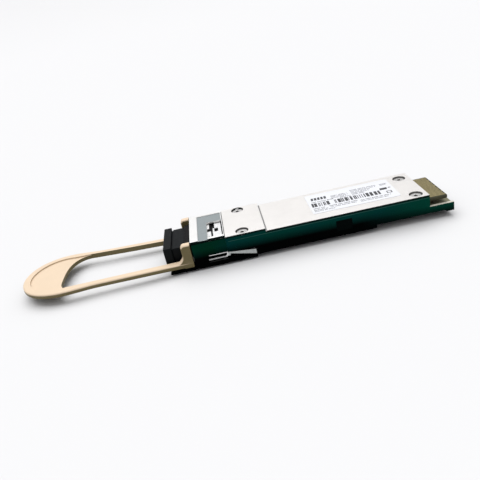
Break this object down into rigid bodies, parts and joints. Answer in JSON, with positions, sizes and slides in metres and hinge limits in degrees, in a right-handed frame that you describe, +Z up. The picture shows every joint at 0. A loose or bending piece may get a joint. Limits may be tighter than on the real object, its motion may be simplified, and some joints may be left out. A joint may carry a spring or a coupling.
{
  "type": "optical transceiver module",
  "caption": "Pluggable optical transceiver: metal module body with a rear card edge, a front fibre port with a dust plug, and a long loop pull tab on a sprung latch slider.",
  "frame": {"origin": "middle of the overall length and width, on the flat bottom of the module", "axes": "+X along the module from the pull tab to the rear card edge, +Y across it, +Z up through the label face"},
  "size_m": [0.1234, 0.0228, 0.0089],
  "materials": {
    "housing": "glossy dark teal finish on zinc die casting",
    "cover": "satin bright nickel",
    "nose": "satin bright nickel, greyer in the recess",
    "screw": "bright steel",
    "gasket": "conductive elastomer",
    "label": "matt white film",
    "receptacle": "black moulded",
    "ferrule": "brown filled polymer",
    "pin": "ground stainless",
    "stainless": "stainless strip",
    "ribbon": "coated fibres",
    "ceramic_base": "white ceramic",
    "lens": "amber optical polymer",
    "semiconductor": "polished die",
    "chip": "moulded package",
    "ferrite": "dark grey",
    "capacitor": "tan ceramic",
    "thermal_pad": "soft filled silicone",
    "board": "olive green solder mask",
    "gold": "gold plating",
    "tab": "beige moulded, fine texture",
    "spring": "spring wire",
    "plug": "black moulded"
  },
  "bodies": {
    "module": {"lower_housing": "housing", "top_cover": "cover", "nose_cover": "nose", "cover_screws": "screw", "cover_gasket": "gasket", "label_sheet": "label", "port_receptacle": "receptacle", "port_hook_left": "receptacle", "port_hook_right": "receptacle", "ferrule": "ferrule", "guide_pins": "pin", "ferrule_clamp": "stainless", "fibre_ribbon": "ribbon", "engine_base": "ceramic_base", "lens_block": "lens", "laser_array": "semiconductor", "photodiode_array": "semiconductor", "laser_driver_chip": "chip", "receiver_chip": "chip", "transmit_retimer_chip": "chip", "receive_retimer_chip": "chip", "controller_chip": "chip", "power_regulator_chip": "chip", "inductors": "ferrite", "chip_capacitors": "capacitor", "chip_resistors": "ferrite", "engine_thermal_pad": "thermal_pad", "retimer_thermal_pad": "thermal_pad", "board_thermal_pad": "thermal_pad", "circuit_board": "board", "edge_contacts_top": "gold", "edge_contacts_bottom": "gold", "return_spring_left": "spring", "return_spring_right": "spring"},
    "latch_slider": {"slider_frame": "stainless", "pull_tab": "tab"},
    "dust_cap": {"dust_plug": "plug"}
  },
  "joints": [
    {"name": "latch_pull", "type": "slide", "parent": "module", "child": "latch_slider", "axis": [-1, 0, 0], "range_m": [0, 0.0025], "stiffness_N_per_m": 800, "springref_m": -0.0005, "deforming": ["return_spring_left", "return_spring_right"]},
    {"name": "dust_plug_pull", "type": "slide", "parent": "module", "child": "dust_cap", "axis": [-1, 0, 0], "range_m": [0, 0.018]}
  ]
}
